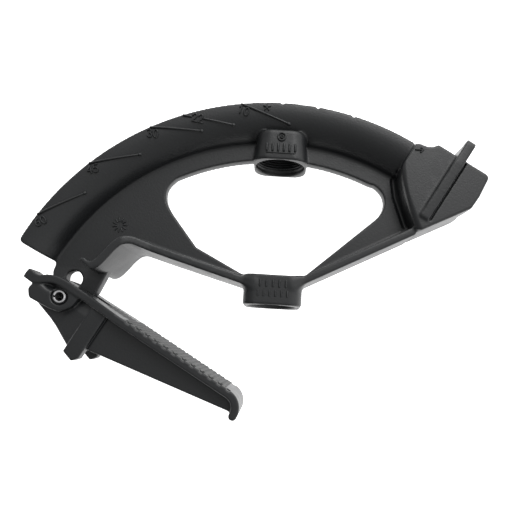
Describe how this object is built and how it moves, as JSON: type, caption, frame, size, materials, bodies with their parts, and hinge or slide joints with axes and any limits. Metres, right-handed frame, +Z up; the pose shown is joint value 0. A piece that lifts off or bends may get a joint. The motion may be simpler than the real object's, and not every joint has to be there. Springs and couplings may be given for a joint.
{
  "type": "conduit bender head",
  "caption": "Cast hand bender head for metal conduit: grooved shoe, hook and strap, threaded handle socket, handle hub, and a foot pedal that folds on a spring pin.",
  "frame": {"origin": "bottom centre of the box around the tool, lying on its side with the pedal folded", "axes": "+X along the tool towards the hook, +Y from the handle side towards the crown of the shoe, +Z up across the tool, along the hinge pin"},
  "size_m": [0.3926, 0.2694, 0.071],
  "materials": {
    "black_paint": "semi-matte black paint over as-cast iron",
    "spring_steel": "bright plain steel"
  },
  "bodies": {
    "head": {"shoe_channel": "black_paint", "handle_socket": "black_paint", "handle_hub": "black_paint", "web_crown": "black_paint", "left_leg_web": "black_paint", "right_leg_web": "black_paint", "left_leg_flange": "black_paint", "right_leg_flange": "black_paint", "heel_flange": "black_paint", "pivot_tongue": "black_paint", "hook_trough": "black_paint", "hook_strap": "black_paint"},
    "pedal": {"pedal_tread": "black_paint", "pedal_arm_near": "black_paint", "pedal_lug_near": "black_paint", "pedal_rib_near": "black_paint", "pedal_side_plate_near": "black_paint", "pedal_arm_far": "black_paint", "pedal_lug_far": "black_paint", "pedal_rib_far": "black_paint", "pedal_side_plate_far": "black_paint", "hinge_pin": "spring_steel"}
  },
  "joints": [
    {"name": "pedal_hinge", "type": "hinge", "parent": "head", "child": "pedal", "pos_m": [-0.15937, -0.04127, 0.0355], "axis": [0, 0, 1], "range_deg": [-153.6, 0]}
  ]
}
